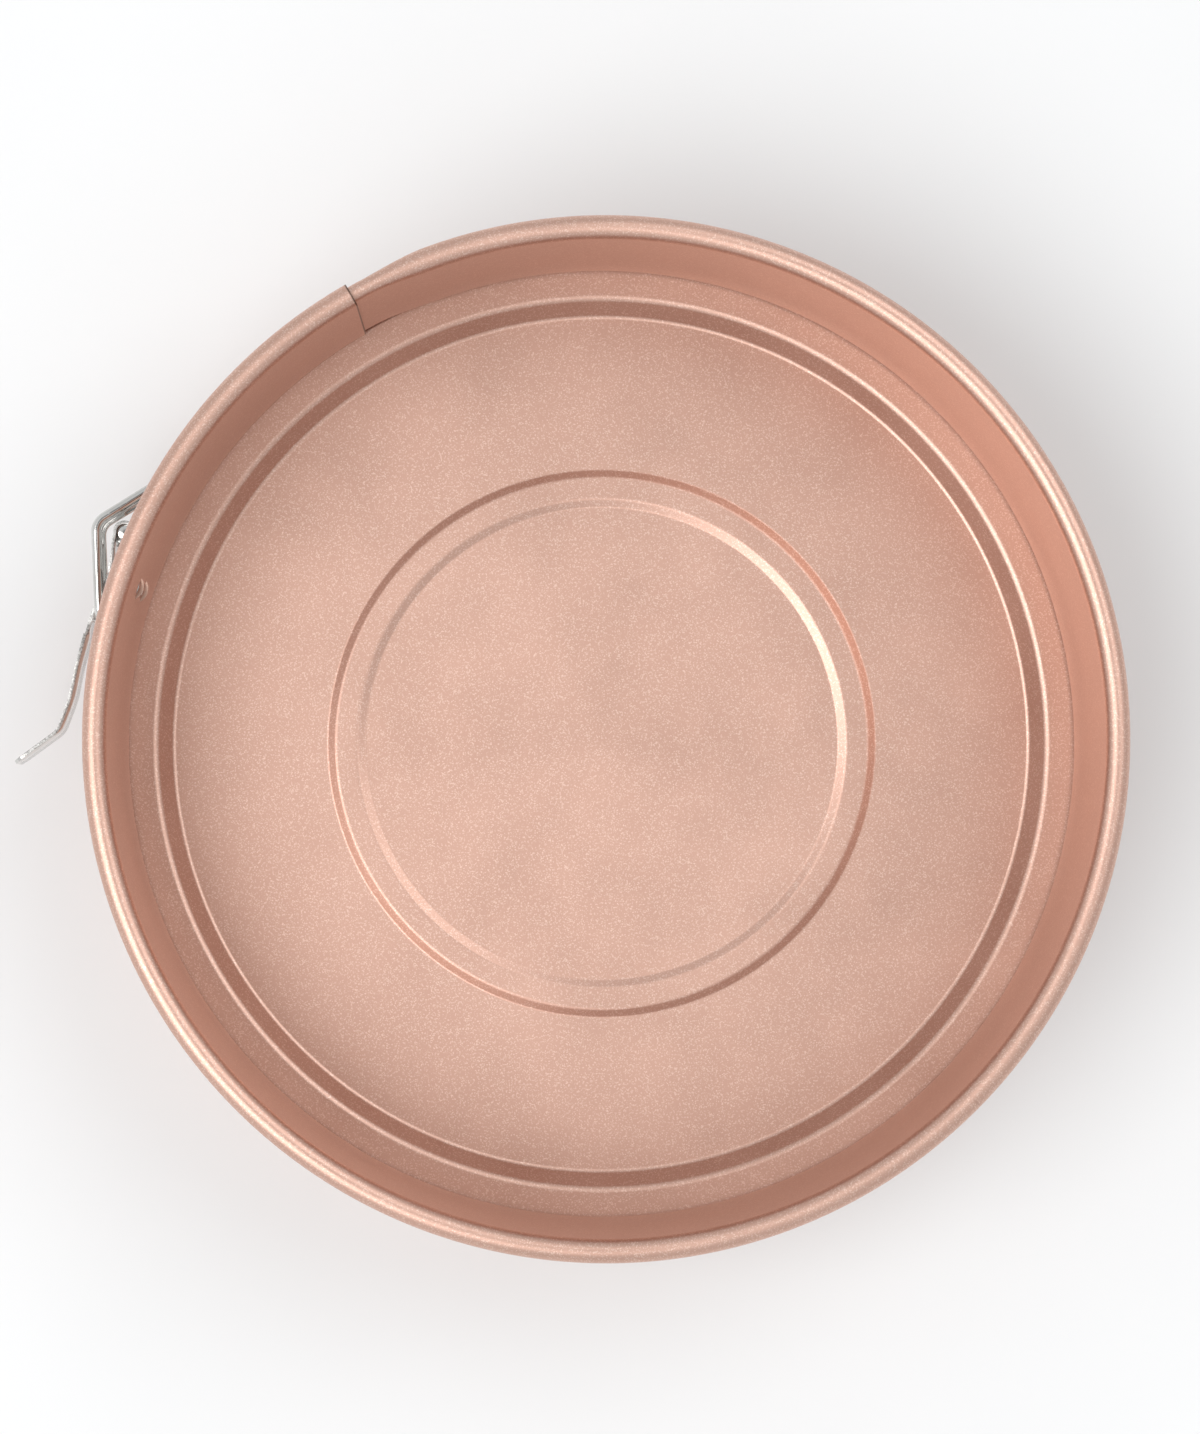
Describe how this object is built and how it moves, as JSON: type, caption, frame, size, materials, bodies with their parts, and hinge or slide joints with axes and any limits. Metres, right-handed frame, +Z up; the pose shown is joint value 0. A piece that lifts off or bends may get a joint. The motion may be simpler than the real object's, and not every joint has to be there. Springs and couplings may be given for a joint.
{
  "type": "springform pan",
  "caption": "Round springform baking pan: sprung side band with rolled rim, over-centre toggle latch with wire bail, and lift-out base plate.",
  "frame": {"origin": "centre of the base plate's flat underside", "axes": "+Z up through the open mouth; the latch lever's pivot lies on the -X side, with its axis along Z"},
  "size_m": [0.2495, 0.2398, 0.07],
  "materials": {
    "rose_coating": "satin metallic rose-gold non-stick coating",
    "bright_nickel": "bright nickel plate"
  },
  "bodies": {
    "base": {"base_plate": "rose_coating"},
    "back_arc": {"band_back": "rose_coating"},
    "latch_side_arc": {"band_latch_side": "rose_coating"},
    "latch_end_arc": {"band_latch_end": "rose_coating", "lever_bracket": "bright_nickel", "bracket_rivets": "bright_nickel", "pivot_pin": "bright_nickel"},
    "keeper_side_arc": {"band_keeper_side": "rose_coating"},
    "keeper_end_arc": {"band_keeper_end": "rose_coating", "keeper": "rose_coating"},
    "lever": {"latch_lever": "bright_nickel"},
    "bail": {"wire_bail": "bright_nickel"}
  },
  "joints": [
    {"name": "lever_throw", "type": "hinge", "parent": "latch_end_arc", "child": "lever", "pos_m": [-0.1219, 0, 0.04], "axis": [0, 0, -1], "range_deg": [0, 120]},
    {"name": "band_shift", "type": "slide", "parent": "base", "child": "back_arc", "axis": [0.9314, -0.3641, 0], "range_m": [0, 0.0034]},
    {"name": "latch_side_flex", "type": "hinge", "parent": "back_arc", "child": "latch_side_arc", "pos_m": [0.05919, -0.10427, 0.04], "axis": [0, 0, 1], "range_deg": [0, 1.9]},
    {"name": "latch_end_flex", "type": "hinge", "parent": "latch_side_arc", "child": "latch_end_arc", "pos_m": [-0.08988, -0.07935, 0.04], "axis": [0, 0, 1], "range_deg": [0, 3.6]},
    {"name": "keeper_side_flex", "type": "hinge", "parent": "back_arc", "child": "keeper_side_arc", "pos_m": [0.11421, 0.03649, 0.04], "axis": [0, 0, -1], "range_deg": [0, 1.9]},
    {"name": "keeper_end_flex", "type": "hinge", "parent": "keeper_side_arc", "child": "keeper_end_arc", "pos_m": [-0.01224, 0.11927, 0.04], "axis": [0, 0, -1], "range_deg": [0, 3.6]},
    {"name": "bail_swing", "type": "hinge", "parent": "lever", "child": "bail", "pos_m": [-0.1199, -0.0196, 0.04], "axis": [0, 0, 1], "range_deg": [0, 120]}
  ],
  "couplings": [
    {"joint": "latch_side_flex", "follows": "band_shift", "rad_per_m": 9.7533},
    {"joint": "latch_end_flex", "follows": "band_shift", "rad_per_m": 18.48},
    {"joint": "keeper_side_flex", "follows": "band_shift", "rad_per_m": 9.7533},
    {"joint": "keeper_end_flex", "follows": "band_shift", "rad_per_m": 18.48},
    {"joint": "lever_throw", "follows": "band_shift", "rad_per_m": 616},
    {"joint": "bail_swing", "follows": "band_shift", "rad_per_m": 616}
  ]
}
